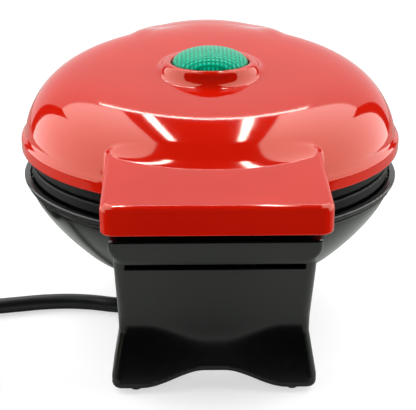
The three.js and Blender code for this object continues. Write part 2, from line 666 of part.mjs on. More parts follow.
// Mains lead
place(lead, 'power_cord', tube(CORD_ROUTE, CORD_RADIUS, 8, 14), leadPlastic());
place(lead, 'cord_coil', cordCoil(), leadPlastic());
place(lead, 'cord_tail', tube(CORD_TAIL, CORD_RADIUS, 8, 4), leadPlastic());
place(lead, 'plug_body', plugBody(), leadPlastic());
place(lead, 'plug_blade_left', plugBlade(-1), brass());
place(lead, 'plug_blade_right', plugBlade(1), brass());

const waffleMaker = new THREE.Group();
waffleMaker.add(lid, base, lead);
export default waffleMaker;
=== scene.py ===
"""The looks of a small waffle maker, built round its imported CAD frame.

Blender's units are metres. The shapes are worked out in millimetres, +Z up and +Y to the back, and scaled
once. Moulded pieces are skins of rounded fields, which keep every corner and fillet smooth.
"""
import json
import math

import bpy
import numpy as np
from mathutils import Matrix, Vector


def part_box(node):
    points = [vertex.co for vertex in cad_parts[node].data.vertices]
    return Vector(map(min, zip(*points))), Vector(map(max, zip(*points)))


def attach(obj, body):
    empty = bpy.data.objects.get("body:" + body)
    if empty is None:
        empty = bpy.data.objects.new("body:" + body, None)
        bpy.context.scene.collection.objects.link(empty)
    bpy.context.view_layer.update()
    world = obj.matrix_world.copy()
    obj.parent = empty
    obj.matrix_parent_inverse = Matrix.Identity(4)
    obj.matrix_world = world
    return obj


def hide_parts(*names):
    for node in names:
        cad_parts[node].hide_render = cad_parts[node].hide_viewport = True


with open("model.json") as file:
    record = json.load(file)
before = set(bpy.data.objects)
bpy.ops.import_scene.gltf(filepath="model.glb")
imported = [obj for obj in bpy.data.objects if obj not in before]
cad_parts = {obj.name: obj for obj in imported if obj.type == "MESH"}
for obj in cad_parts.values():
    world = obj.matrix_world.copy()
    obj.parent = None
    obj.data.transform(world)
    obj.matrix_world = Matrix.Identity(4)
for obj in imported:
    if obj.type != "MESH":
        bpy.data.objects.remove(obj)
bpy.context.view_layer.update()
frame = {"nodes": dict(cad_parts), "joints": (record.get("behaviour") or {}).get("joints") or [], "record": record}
MM = 0.001


def box_mm(node):
    low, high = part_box(node)
    return low / MM, high / MM


FINE = 0.75  # cell of the skins

# Places taken from the frame
COVER_LOW, COVER_HIGH = box_mm("lid_cover")
PLATE_LOW, PLATE_HIGH = box_mm("lower_waffle_plate")
HINGE = next(j for j in frame["joints"] if j["name"] == "lid_hinge")
AXIS_Y = (PLATE_LOW.y + PLATE_HIGH.y) / 2  # the lid's centre; fields count y from it
PARTING_Z = HINGE["pos_m"][2] / MM
HINGE_Y = HINGE["pos_m"][1] / MM - AXIS_Y
PARTING_GAP = PARTING_Z - PLATE_HIGH.z

# Lid
WALL = 2.4
HUMP_HANG = 2.2  # how far the hump's skirt hangs below the lid's edge
HANDLE_HANG = 0.6  # and the handle's front wall
LID_Z = COVER_LOW.z + HUMP_HANG  # the lid's edge
LIP_RADIUS = 65.4
LIP_TOP = 5.6
LIP_EDGE = 2.3
DOME_FOOT = 6
DOME_RADIUS = 63.8
DOME_RISE = 19.5
DOME_LEAN = 0.0075  # extra height, as a share, for each millimetre towards the back
DOME_R_POWER = 7.6
DOME_Z_POWER = 1.454
HANDLE_HALF = 32.9
HANDLE_FRONT = COVER_LOW.y - AXIS_Y
HANDLE_BACK = -50
HANDLE_FRONT_RISE = 7.7
HANDLE_BACK_RISE = 12.7
HANDLE_CORNER = 4
HANDLE_EDGE = 1.7
HUMP_HALF = 28
HUMP_FRONT = 30
HUMP_BACK = COVER_HIGH.y - AXIS_Y
HUMP_RISE = COVER_HIGH.z - LID_Z
HUMP_CREST_Y = 50
HUMP_FALL = 0.0095  # drop for each square millimetre from the crest
HUMP_ARCH = 5  # drop from its middle to its sides
HUMP_CORNER = 6
HUMP_EDGE = 5
LENS_RADIUS = 13.05
LENS_GAP = 0.3
LENS_SEAT = 4.4  # the lens's foot below its ring's top
LENS_SHOULDER = 0.8  # where its crown starts, below the ring's top
LENS_CROWN = 4.7  # the lens's top above its ring
LENS_RING = 16
LENS_RING_RISE = 28
LENS_RING_FOOT = 20
LENS_RING_EDGE = 1.3
LENS_RING_FILLET = 3.2
LENS_PRISM_PITCH = 1.4
LENS_WAVE_SCALE = 2 * math.pi / (20 * LENS_PRISM_PITCH * MM)
SCREW_CIRCLE = 56.2
TOWER_RADIUS = 2.6
TOWER_FOOT_Z = 69.4
PILOT_RADIUS = 1.3  # bore that a screw cuts its thread into
PILOT_END_Z = 75
SCREW_HOLE = 1.7  # clearance bore round a screw

# Rings and plates
RING_RADIUS = 62.2
RING_INNER = 52.6
RING_FLANGE = 3
RING_SKIRT_WALL = 1.8
RING_SKIRT_TOP = 2
RING_SKIRT_END = 10.4
UPPER_SKIRT_RADIUS = 61
UPPER_RIM_HEIGHT = 4.3
LOWER_SKIRT_RADIUS = 58.4
LOWER_RIM_HEIGHT = 4
LUG_RADIUS = 4
LUG_LOW_Z = 67
LUG_HIGH_Z = 69
NOTCH_HALF = 3  # notch for the lead between base and lid
NOTCH_FRONT = 50
PLATE_RADIUS = 52.2
PLATE_WALL = 2.2
POCKET_RADIUS = 49.2
POCKET_DEPTH = 6.5
POCKET_DRAFT = 0.22
POCKET_CORNER = 1.5
RIDGE_PITCH = 13
RIDGE_BELOW_PARTING = 3.1
RIDGE_CREST_HALF = 1.3
RIDGE_DRAFT = 0.24
DRAFT_SCALE = 0.97  # makes a drafted wall's field a true distance
BOSS_CIRCLE = 20
BOSS_RADIUS = 3.6
BOSS_START = 7.6  # the bosses' ends behind the plate's rim
BOSS_END = 15.8
BOSS_BORE_START = 9.2

# Base
BOWL_RADIUS = 63.4
BOWL_TOP_Z = 55.3
BOWL_LOW_Z = 21.5
BOWL_WAIST_Z = 53.2  # the bowl draws in below this height, more and more
BOWL_CURVE = 0.1527
BOWL_POWER = 1.484
BOWL_CORNER = 9
STEP_RADIUS = 64.1
STEP_LOW_Z = 52.1
BASE_LIP_RADIUS = 65
BASE_LIP_LOW_Z = 53.8
REBATE_RADIUS = 62.7
REBATE_DEPTH = 0.8
TAB_HALF = 31.6
TAB_FRONT = -76.4
TAB_BACK = -50
TAB_LEAN = 4.2
TAB_TOP_Z = 57.2
TAB_LOW_Z = 48.2
TAB_CORNER = 5.5
LEG_HALF = 30.1
LEG_INNER_Y = 48
LEG_TOP_Z = 50
LEG_CORNER = 3.2
WAIST_Y = 61.6  # the leg's face at its waist, from the axis
WAIST_LOW_Z = 19  # the waist's height in the middle
WAIST_CLIMB = 5  # and how much higher it is at the sides
FACE_TOP_Z = 46
FACE_LEAN = 9.6
FOOT_KICK = 0.15
FOOT_KICK_POWER = 1.58
FLARE_TOP_Z = 19.5  # below this the leg widens towards the floor
FLARE_HEIGHT = 15
FLARE = 2.6
FLARE_MOST = 2.5
WIDEN_LOW_Z = 20  # and above this it widens a little towards the bowl
WIDEN_HEIGHT = 26
WIDEN = 0.4
HOLLOW_TOP_Z = 45
FOOT_Z = 1.5
FOOT_ARCH = 5.2
FOOT_X = 25
FOOT_Y = 60.5
GROOVE_HALF = 27
GROOVE_LOW_Z = 46.6
GROOVE_HIGH_Z = 47.7
GROOVE_FLOOR_Y = -69.6
LEDGE_HALF = 14
LEDGE_FRONT_Y = 56
LEDGE_LOW_Z = 46
LEDGE_HIGH_Z = 51
STAND_RADIUS = 4.2  # round towers under the lower plate's bosses
STAND_TOP_Z = 41
SCREW_WELL = 3
SCREW_WELL_TOP_Z = 34
LEAD_Z = 9.5  # the lead's way out of the rear leg
LEAD_HOLE = 4.3
PIN_X = 8.6
PIN_RADIUS = 1.5
PIN_LENGTH = 11.4
PIN_BORE = 1.6
KNUCKLE_RADIUS = 4.2
KNUCKLE_HALF = 2.3
KNUCKLE_ARM_Y = 57.5
BASE_KNUCKLE_X = 11.4
LID_KNUCKLE_X = 16.8

# Camera
CAMERA_PLACE = Vector((-9.1, -366.2, 182.1))
CAMERA_TARGET = Vector((-0.66, 6.6, 39.3))
CAMERA_LENS = 96.0
CAMERA_ROLL = math.radians(0.08)

# Mains lead
CORD_DIAMETER = 5.6
CORD_ON_FLOOR = 2.95
CORD_OVER_COIL = 8.95
COIL_CENTRE = Vector((-124, 33.4, 0))
COIL_OUTER = 34.3
COIL_MIDDLE = 28.6
COIL_INNER = 22.9
COIL_STATIONS = [  # angle in degrees, seen from above, with the centreline's radius and height there
    (-90, COIL_OUTER, CORD_ON_FLOOR),
    (-340, COIL_OUTER, CORD_ON_FLOOR),
    (-455, COIL_MIDDLE, CORD_ON_FLOOR),
    (-700, COIL_MIDDLE, CORD_ON_FLOOR),
    (-815, COIL_INNER, CORD_ON_FLOOR),
    (-980, COIL_INNER, CORD_ON_FLOOR),
    (-1123, COIL_INNER, CORD_OVER_COIL),
]
COIL_POINTS = 46
COIL_STEP = 22  # degrees between the coil's points
TIE_ANGLE = 172
TIE_STEP = 4
CORD_ROUTE = [
    (0, 33.9, 9.5),
    (0, 29, 9.4),
    (-0.4, 23, 8.8),
    (-1.9, 16.4, 7.6),
    (-5.3, 9.9, 6.0),
    (-10.8, 4.4, 4.4),
    (-17.7, 0.8, 3.3),
    (-25.5, -0.5, 2.95),
    (-34.4, 0.2, 2.95),
    (-43.5, 2.5, 2.95),
    (-52, 3.5, 2.95),
    (-61, 3.0, 2.95),
    (-69.5, 1.4, 2.95),
    (-78, -0.2, 2.95),
    (-87, -1.0, 2.95),
    (-95.5, -1.1, 2.95),
    (-103.3, -0.9, 2.95),
]
CORD_TAIL = [
    (-100.6, 20, 8.95),
    (-99, 12, 9.05),
    (-96.6, 3, 9.0),
    (-94.2, -6, 8.8),
    (-92.9, -15.5, 8.2),
    (-92.6, -25.7, 7.6),
]


# ---------------------------------------------------------------- materials
class Nodes:
    """A material under construction: a Principled shader and a few textures in object space."""

    def __init__(self, name, **settings):
        self.material = bpy.data.materials.new(name)
        self.material.use_nodes = True
        self.tree = self.material.node_tree
        self.shader = self.tree.nodes["Principled BSDF"]
        for socket, value in settings.items():
            self.shader.inputs[socket.replace("_", " ")].default_value = value
        self.place = self.node("ShaderNodeTexCoord").outputs["Object"]

    def node(self, kind, **fields):
        made = self.tree.nodes.new(kind)
        for field, value in fields.items():
            if field in made.inputs:
                made.inputs[field].default_value = value
            else:
                setattr(made, field, value)
        return made

    def link(self, output, shader_socket):
        self.tree.links.new(output, self.shader.inputs[shader_socket])

    def stretched(self, scale):
        mapping = self.node("ShaderNodeMapping")
        mapping.inputs["Scale"].default_value = scale
        self.tree.links.new(self.place, mapping.inputs["Vector"])
        return mapping.outputs["Vector"]

    def noise(self, scale, detail=3.0, place=None):
        made = self.node("ShaderNodeTexNoise", Scale=scale, Detail=detail)
        self.tree.links.new(place or self.place, made.inputs["Vector"])
        return made.outputs["Fac"]

    def ramp(self, value, *stops):
        made = self.node("ShaderNodeValToRGB")
        elements = made.color_ramp.elements
        while len(elements) < len(stops):
            elements.new(0.5)
        for element, (position, colour) in zip(elements, stops):
            element.position = position
            element.color = (*colour, 1)
        self.tree.links.new(value, made.inputs["Fac"])
        return made.outputs["Color"]

    def roughness(self, value, low, high):
        """A roughness between two values, by a texture."""
        made = self.node("ShaderNodeMapRange")
        made.inputs["To Min"].default_value = low
        made.inputs["To Max"].default_value = high
        self.tree.links.new(value, made.inputs["Value"])
        self.link(made.outputs["Result"], "Roughness")

    def bump(self, height, strength, distance):
        made = self.node("ShaderNodeBump", Strength=strength, Distance=distance)
        self.tree.links.new(height, made.inputs["Height"])
        self.link(made.outputs["Normal"], "Normal")


def red_gloss():
    """Bright red moulding plastic, polished, with the faint waviness of a moulded skin."""
    m = Nodes("red_gloss_plastic", IOR=1.58, Specular_Tint=(1.0, 0.80, 0.60, 1.0))
    shades = ((0.3, (0.485, 0.0060, 0.0009)), (0.7, (0.530, 0.0080, 0.0013)))
    m.link(m.ramp(m.noise(35), *shades), "Base Color")
    m.roughness(m.noise(220, 5), 0.045, 0.075)
    m.bump(m.noise(90, 2), 0.02, 0.0004)
    return m.material


def black_satin():
    """Black moulding plastic with a soft sheen and a very fine grain."""
    m = Nodes("black_satin_plastic", IOR=1.5)
    shades = ((0.3, (0.0008, 0.0013, 0.0010)), (0.7, (0.0016, 0.0024, 0.0019)))
    m.link(m.ramp(m.noise(60), *shades), "Base Color")
    m.roughness(m.noise(400, 4), 0.15, 0.22)
    m.bump(m.noise(2600, 2), 0.05, 0.00005)
    return m.material


def black_heatproof():
    """Heat-resistant black plastic, duller and grainier."""
    m = Nodes("black_heatproof_plastic", IOR=1.3)
    shades = ((0.3, (0.0035, 0.0045, 0.0040)), (0.7, (0.0070, 0.0085, 0.0075)))
    m.link(m.ramp(m.noise(80), *shades), "Base Color")
    m.roughness(m.noise(300, 4), 0.40, 0.52)
    m.bump(m.noise(2200, 2), 0.18, 0.0001)
    return m.material


def plate_coating():
    """Non-stick coating on cast aluminium: dark grey with fine lighter specks."""
    m = Nodes("plate_coating", Metallic=0.25, IOR=1.5)
    specks = m.ramp(m.noise(2400, 1), (0.60, (0.022, 0.022, 0.024)), (0.72, (0.10, 0.10, 0.105)))
    m.link(specks, "Base Color")
    m.roughness(m.noise(160, 4), 0.34, 0.48)
    m.bump(m.noise(1500, 3), 0.15, 0.00012)
    return m.material


def steel(name, colour, roughness, grain):
    """Bare metal with a fine grain running one way."""
    m = Nodes(name, Metallic=1.0)
    dark = tuple(0.8 * c for c in colour)
    m.link(m.ramp(m.noise(120), (0.3, dark), (0.7, colour)), "Base Color")
    lines = m.noise(1.0, 4, m.stretched(grain))
    m.roughness(lines, roughness - 0.08, roughness + 0.12)
    m.bump(lines, 0.05, 0.00005)
    return m.material


def lens_green():
    """Emerald lens: a grid of small prisms under a smooth clear skin, with painted light and shade on the prisms,
    their peaks painted lighter green and the troughs between them darker.
    """
    m = Nodes("green_lens", IOR=1.4, Specular_Tint=(0.02, 1.0, 0.75, 1.0), Roughness=0.25)
    waves = [m.node("ShaderNodeTexWave", Scale=LENS_WAVE_SCALE, bands_direction=way) for way in ("X", "Y")]
    for wave in waves:
        m.tree.links.new(m.place, wave.inputs["Vector"])
    peaks = m.node("ShaderNodeMath", operation="MULTIPLY")
    for wave, socket in zip(waves, peaks.inputs):
        m.tree.links.new(wave.outputs["Fac"], socket)
    height = peaks.outputs["Value"]
    # painted shade and highlight: the prisms' troughs painted dark green, their peaks light green
    shades = ((0.0, (0.0, 0.20, 0.10)), (0.35, (0.0, 0.36, 0.19)), (1.0, (0.0, 0.54, 0.33)))
    m.link(m.ramp(height, *shades), "Base Color")
    m.bump(height, 0.35, 0.0005)
    return m.material


def lamp_glass():
    """Thin warm glass of the indicator's neon lamp."""
    m = Nodes("lamp_glass", IOR=1.47, Roughness=0.05, Transmission_Weight=0.8)
    shades = ((0.3, (0.9, 0.72, 0.6)), (0.7, (1.0, 0.85, 0.75)))
    m.link(m.ramp(m.noise(300), *shades), "Base Color")
    return m.material


def rubber():
    """Matt black rubber of the feet."""
    m = Nodes("foot_rubber", IOR=1.5)
    shades = ((0.3, (0.010, 0.010, 0.010)), (0.7, (0.02, 0.02, 0.02)))
    m.link(m.ramp(m.noise(400), *shades), "Base Color")
    m.roughness(m.noise(900, 4), 0.75, 0.9)
    m.bump(m.noise(1800, 3), 0.2, 0.0001)
    return m.material


def lead_plastic():
    """Soft black vinyl of the lead and its plug."""
    m = Nodes("lead_vinyl", IOR=1.45)
    shades = ((0.3, (0.0035, 0.0040, 0.0042)), (0.7, (0.0060, 0.0065, 0.0070)))
    m.link(m.ramp(m.noise(150), *shades), "Base Color")
    m.roughness(m.noise(500, 4), 0.30, 0.42)
    m.bump(m.noise(1400, 2), 0.08, 0.0001)
    return m.material


MATERIALS = {
    "red_gloss": red_gloss(),
    "green_lens": lens_green(),
    "black_satin": black_satin(),
    "black_heatproof": black_heatproof(),
    "plate_coating": plate_coating(),
    "sheet_steel": steel("sheet_steel", (0.60, 0.60, 0.58), 0.38, (40, 900, 900)),
    "screw_steel": steel("screw_steel", (0.52, 0.53, 0.54), 0.30, (900, 900, 60)),
    "lamp_glass": lamp_glass(),
    "foot_rubber": rubber(),
    "lead_plastic": lead_plastic(),
    "blade_brass": steel("blade_brass", (0.83, 0.64, 0.32), 0.28, (900, 60, 900)),
}


def dress_frame():
    """Every CAD node gets the finished material of its slot."""
    for row in frame["record"]["subparts"]:
        slots = frame["nodes"][row["node"]].data.materials
        slots.clear()
        slots.append(MATERIALS[row["material_slot"]])


# ---------------------------------------------------------------- fields
# A field is a distance in millimetres, negative inside. These join and cut fields with round corners.
def fillet_join(a, b, radius):
    """Both shapes, with the inside corner where they meet filled to a radius."""
    near = np.hypot(np.maximum(radius - a, 0), np.maximum(radius - b, 0))
    return np.maximum(radius, np.minimum(a, b)) - near


def round_cut(a, b, radius):
    """What is in both shapes, with the outside corner between them rounded."""
    over = np.hypot(np.maximum(radius + a, 0), np.maximum(radius + b, 0))
    return np.minimum(-radius, np.maximum(a, b)) + over


def smooth_step(value, low, high):
    share = np.clip((value - low) / (high - low), 0, 1)
    return share * share * (3 - 2 * share)


def slab(value, low, high):
    """Distance to the space between two planes."""
    return np.abs(value - (low + high) / 2) - (high - low) / 2


def round_box(parts, edge):
    """A box, or a disc's section, from its slabs, with round edges."""
    inner = [part + edge for part in parts]
    outside = np.sqrt(sum(np.maximum(part, 0) ** 2 for part in inner))
    inside = inner[0]
    for part in inner[1:]:
        inside = np.maximum(inside, part)
    return outside + np.minimum(inside, 0) - edge


def all_of(*fields):
    whole = fields[0]
    for field in fields[1:]:
        whole = np.maximum(whole, field)
    return whole


def any_of(*fields):
    whole = fields[0]
    for field in fields[1:]:
        whole = np.minimum(whole, field)
    return whole


def ring_places(radius):
    """Three places round the axis, the first of them at the front."""
    angles = [math.radians(120 * i - 90) for i in range(3)]
    return [(radius * math.cos(a), radius * math.sin(a)) for a in angles]


def nearest_of_three(x, y, radius):
    """Distance from the nearest of three places on a circle."""
    return any_of(*[np.hypot(x - px, y - py) for px, py in ring_places(radius)])


# ---------------------------------------------------------------- skins
def crossings(values, axis):
    """The grid edges along one axis that the surface cuts, and where it cuts them."""
    low = [slice(None)] * 3
    high = [slice(None)] * 3
    low[axis], high[axis] = slice(None, -1), slice(1, None)
    start, end = values[tuple(low)], values[tuple(high)]
    found = np.argwhere((start < 0) != (end < 0))
    a, b = start[tuple(found.T)], end[tuple(found.T)]
    points = found.astype(float)
    points[:, axis] += a / (a - b)
    return found, points, a < 0


def slope(field, points):
    """The field's value and gradient at points."""
    small = 0.02
    x, y, z = points.T
    across = field(x + small, y, z) - field(x - small, y, z)
    back = field(x, y + small, z) - field(x, y - small, z)
    up = field(x, y, z + small) - field(x, y, z - small)
    return field(x, y, z), np.stack([across, back, up], 1) / (2 * small)


def onto_surface(field, points, step):
    for _ in range(4):
        value, gradient = slope(field, points)
        size = np.maximum((gradient**2).sum(1), 0.05)
        move = -(value / size)[:, None] * gradient
        length = np.linalg.norm(move, axis=1, keepdims=True)
        points = points + move * np.minimum(1, 0.5 * step / np.maximum(length, 1e-9))
    return points


def skin(field, low, high, step):
    """A quad mesh of a field's surface: one point in each cell that the surface crosses, moved onto it."""
    axes = [np.arange(a, b + step, step) for a, b in zip(low, high)]
    y, z = np.meshgrid(axes[1], axes[2], indexing="ij")
    values = np.stack([field(np.full_like(y, x), y, z) for x in axes[0]])
    shape = values.shape
    sums = np.zeros((values.size, 3))
    hits = np.zeros(values.size)
    quads = []
    for axis in range(3):
        found, points, leaving = crossings(values, axis)
        beside, above = (axis + 1) % 3, (axis + 2) % 3
        corners = []
        for back_a, back_b in ((0, 0), (1, 0), (1, 1), (0, 1)):
            cell = found.copy()
            cell[:, beside] -= back_a
            cell[:, above] -= back_b
            flat = np.ravel_multi_index(cell.T, shape)
            for part in range(3):
                sums[:, part] += np.bincount(flat, points[:, part], values.size)
            hits += np.bincount(flat, minlength=values.size)
            corners.append(flat)
        quad = np.stack(corners, 1)
        quads.append(np.where(leaving[:, None], quad, quad[:, ::-1]))
    used = np.flatnonzero(hits)
    numbers = np.full(values.size, -1)
    numbers[used] = np.arange(len(used))
    points = np.array(low) + step * sums[used] / hits[used, None]
    return onto_surface(field, points, step), numbers[np.concatenate(quads)]


# ---------------------------------------------------------------- pieces
def piece_from(name, points, faces, body, slot, nodes=(), normals=None):
    """A smooth mesh piece from points in millimetres."""
    mesh = bpy.data.meshes.new(name)
    mesh.from_pydata((np.asarray(points) * MM).tolist(), [], [list(map(int, face)) for face in faces])
    mesh.update()
    mesh.polygons.foreach_set("use_smooth", [True] * len(mesh.polygons))
    if normals is not None:
        mesh.normals_split_custom_set_from_vertices(normals.tolist())
    mesh.materials.append(MATERIALS[slot])
    piece = bpy.data.objects.new(name, mesh)
    bpy.context.scene.collection.objects.link(piece)
    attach(piece, body)
    if nodes:
        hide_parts(*nodes)
    return piece


def cells_round(node, margin):
    """The space that holds a node with a margin, counted from the lid's axis."""
    low, high = box_mm(node)
    grow = Vector((margin, margin, margin))
    shift = Vector((0, AXIS_Y, 0))
    return tuple(low - grow - shift), tuple(high + grow - shift)


def moulded(name, field, space, body, slot, nodes, step=FINE):
    """A piece whose surface is a field's skin in a space. Fields count x and y from the lid's axis."""
    points, quads = skin(field, *space, step)
    _, gradient = slope(field, points)
    normals = gradient / np.maximum(np.linalg.norm(gradient, axis=1, keepdims=True), 1e-9)
    points[:, 1] += AXIS_Y
    return piece_from(name, points, quads, body, slot, nodes, normals)


def lathe(profile, sides=96):
    """Points and faces of a profile turned about Z. Its first and last [radius, height] are on the axis."""
    angles = [2 * math.pi * i / sides for i in range(sides)]
    points = [(r * math.cos(a), r * math.sin(a), z) for r, z in profile[1:-1] for a in angles]
    rows = len(profile) - 2
    faces = []
    for row in range(rows - 1):
        for i in range(sides):
            j = (i + 1) % sides
            faces.append((row * sides + i, row * sides + j, (row + 1) * sides + j, (row + 1) * sides + i))
    points += [(0, 0, profile[0][1]), (0, 0, profile[-1][1])]
    last = (rows - 1) * sides
    for i in range(sides):
        j = (i + 1) % sides
        faces.append((rows * sides, j, i))
        faces.append((rows * sides + 1, last + i, last + j))
    return np.array(points, float), faces


# ---------------------------------------------------------------- lid
def dome(x, y, z, inset):
    """A flattened dome, a little higher at the back. Below its foot it is a straight cylinder."""
    radius, rise = DOME_RADIUS - inset, DOME_RISE - inset
    lean = 1 + DOME_LEAN * y
    across = np.hypot(x, y) / radius
    up = np.maximum((z - LID_Z - DOME_FOOT) / lean, 0) / rise
    level = across**DOME_R_POWER + up**DOME_Z_POWER - 1
    out_slope = DOME_R_POWER * across ** (DOME_R_POWER - 1) / radius
    up_slope = DOME_Z_POWER * up ** (DOME_Z_POWER - 1) / (rise * lean)
    return np.clip(level / np.maximum(np.hypot(out_slope, up_slope), 0.012), -20, 30)


def handle(x, y, z, inset):
    """The handle's block, whose top climbs to the dome."""
    front, back = HANDLE_FRONT + inset, HANDLE_BACK - inset
    side = np.abs(x) - (HANDLE_HALF - inset)
    plan = round_cut(round_cut(side, front - y, HANDLE_CORNER), y - back, 1.2)
    share = (y - HANDLE_FRONT) / (HANDLE_BACK - HANDLE_FRONT)
    top = LID_Z + HANDLE_FRONT_RISE + (HANDLE_BACK_RISE - HANDLE_FRONT_RISE) * share - inset
    return round_cut(plan, z - top, HANDLE_EDGE)


def hump(x, y, z, inset):
    """The hump over the hinge, with an arched crown that falls towards the back."""
    crown = HUMP_RISE - HUMP_FALL * (y - HUMP_CREST_Y) ** 2 - HUMP_ARCH * (x / HUMP_HALF) ** 2
    top = z - (LID_Z + crown - inset)
    side = np.abs(x) - (HUMP_HALF - inset)
    back = y - (HUMP_BACK - inset)
    walls = round_cut(side, back, HUMP_CORNER)
    return np.maximum(round_cut(walls, top, HUMP_EDGE), HUMP_FRONT - y)


def lid_outside(x, y, z):
    """Dome, lip, handle and hump. The fillets shrink at the handle's sides and the hump's middle."""
    lip = round_box([np.hypot(x, y) - LIP_RADIUS, slab(z, LID_Z - 4, LID_Z + LIP_TOP)], LIP_EDGE)
    outside = fillet_join(dome(x, y, z, 0), lip, 0.7)
    handle_fillet = 1 + 1.7 * (1 - smooth_step(np.abs(x), 29, 34))
    outside = fillet_join(outside, handle(x, y, z, 0), handle_fillet)
    hump_fillet = 1 + 6 * smooth_step(np.abs(x) + 0.6 * np.maximum(y - HUMP_CREST_Y, 0), 16, 27)
    return fillet_join(outside, hump(x, y, z, 0), hump_fillet)


def lid_cover_field(x, y, z):
    far = np.hypot(x, y)
    outside = lid_outside(x, y, z)
    inside = any_of(dome(x, y, z, WALL), handle(x, y, z, WALL), hump(x, y, z, WALL))
    shell = np.maximum(outside, -inside)
    ring = round_cut(far - LENS_RING, z - (LID_Z + LENS_RING_RISE), LENS_RING_EDGE)
    shell = fillet_join(shell, np.maximum(ring, LID_Z + LENS_RING_FOOT - z), LENS_RING_FILLET)
    shell = round_cut(shell, LENS_RADIUS + LENS_GAP - far, 0.35)
    post = nearest_of_three(x, y, SCREW_CIRCLE)
    towers = all_of(post - TOWER_RADIUS, TOWER_FOOT_Z - z, outside + 0.5)
    shell = np.maximum(np.minimum(shell, towers), -all_of(post - PILOT_RADIUS, z - PILOT_END_Z))
    behind = HUMP_HANG * smooth_step(y, 59.5, 62.5)
    in_front = HANDLE_HANG * np.clip((-62 - y) / 26, 0, 1)
    return round_cut(shell, LID_Z - (behind + in_front) - z, 0.6)


def make_lid_cover():
    low = (-67, HANDLE_FRONT - 2, COVER_LOW.z - 2)
    high = (67, HUMP_BACK + 2, COVER_HIGH.z + 2)
    moulded("lid_shell", lid_cover_field, (low, high), "lid", "red_gloss", ["lid_cover"])


def make_lens():
    """A domed lens with a straight edge below the ring's top."""
    top = LID_Z + LENS_RING_RISE
    seat = top - LENS_SEAT
    bevel = 0.4
    shoulder = top - LENS_SHOULDER
    height = LENS_CROWN + LENS_SHOULDER
    quarter = [math.pi / 2 * (1 - i / 24) for i in range(25)]
    crown = [(LENS_RADIUS * math.sin(t), shoulder + height * math.cos(t)) for t in quarter]
    profile = [(0, seat), (LENS_RADIUS - bevel, seat), (LENS_RADIUS, seat + bevel), *crown]
    points, faces = lathe(profile, 128)
    points[:, 1] += AXIS_Y
    piece_from("lens_cap", points, faces, "lid", "green_lens", ["indicator_lens"])


# ---------------------------------------------------------------- rings
def ring_section(far, away, outer_height, skirt):
    """The ring's section: a flange at the parting and a skirt that goes up or down behind the wall."""
    inner = skirt - RING_SKIRT_WALL
    flange = round_box([slab(far, RING_INNER, RING_RADIUS), slab(away, PARTING_GAP, RING_FLANGE)], 0.4)
    rim = round_box([slab(far, inner, RING_RADIUS), slab(away, PARTING_GAP, outer_height)], 0.4)
    wall = round_box([slab(far, inner, skirt), slab(away, RING_SKIRT_TOP, RING_SKIRT_END)], 0.3)
    return any_of(flange, rim, wall)


def notch(x, y):
    """The way through a ring for the lead between base and lid."""
    return all_of(np.abs(x) - NOTCH_HALF, NOTCH_FRONT - y)


def knuckle(x, y, z, middle, low, high):
    """Hinge knuckles with their arms at either side of the middle, and the distance from the pin's axis."""
    along = slab(np.abs(x), middle - KNUCKLE_HALF, middle + KNUCKLE_HALF)
    from_pin = np.hypot(y - HINGE_Y, z - PARTING_Z)
    barrel = round_box([along, from_pin - KNUCKLE_RADIUS], 0.4)
    arm = round_box([along, slab(y, KNUCKLE_ARM_Y, HINGE_Y), slab(z, low, high)], 0.4)
    return fillet_join(barrel, arm, 1.0), from_pin


def upper_ring_field(x, y, z):
    far = np.hypot(x, y)
    ring = ring_section(far, z - PARTING_Z, UPPER_RIM_HEIGHT, UPPER_SKIRT_RADIUS)
    arms, from_pin = knuckle(x, y, z, LID_KNUCKLE_X, PARTING_Z + PARTING_GAP, PARTING_Z + 6.2)
    post = nearest_of_three(x, y, SCREW_CIRCLE)
    lugs = round_box([post - LUG_RADIUS, slab(z, LUG_LOW_Z, LUG_HIGH_Z)], 0.3)
    whole = any_of(fillet_join(ring, arms, 0.8), lugs)
    return all_of(whole, -notch(x, y), SCREW_HOLE - post, PIN_BORE - from_pin)


def lower_ring_field(x, y, z):
    ring = ring_section(np.hypot(x, y), PARTING_Z - z, LOWER_RIM_HEIGHT, LOWER_SKIRT_RADIUS)
    return np.maximum(ring, -notch(x, y))


def make_rings():
    across = RING_RADIUS + 2
    back = HINGE_Y + KNUCKLE_RADIUS + 2
    above = (-across, -across, PARTING_Z - 6), (across, back, PARTING_Z + 12)
    below = (-across, -across, PARTING_Z - 12), (across, across, PARTING_Z + 1)
    moulded("upper_ring", upper_ring_field, above, "lid", "black_heatproof", ["upper_inner_ring"])
    moulded("lower_ring", lower_ring_field, below, "base", "black_heatproof", ["lower_inner_ring"])


# ---------------------------------------------------------------- waffle plates
def plate_field(side):
    """A cast plate with a square grid. side is -1 for the lower plate and 1 for the upper."""

    def field(x, y, z):
        away = side * (z - PARTING_Z) - PARTING_GAP  # depth behind the plate's rim
        far = np.hypot(x, y)
        flange = round_box([far - PLATE_RADIUS, slab(away, 0, PLATE_WALL)], 0.5)
        pan = round_box([far - (POCKET_RADIUS + 1), slab(away, 0, POCKET_DEPTH + PLATE_WALL)], 1.0)
        body = fillet_join(flange, pan, 1.0)
        wall = (far - POCKET_RADIUS) * DRAFT_SCALE + POCKET_DRAFT * away
        pocket = round_cut(wall, away - POCKET_DEPTH, POCKET_CORNER)
        body = round_cut(body, -pocket, 0.6)
        ridges = any_of(ridge(x, away), ridge(y, away))
        ridges = np.maximum(ridges, far - (POCKET_RADIUS - 0.6))
        post = nearest_of_three(x, y, BOSS_CIRCLE)
        boss = round_box([post - BOSS_RADIUS, slab(away, BOSS_START, BOSS_END)], 0.4)
        bore = all_of(post - PILOT_RADIUS, BOSS_BORE_START - away)
        return np.maximum(any_of(fillet_join(body, ridges, 0.9), boss), -bore)

    return field


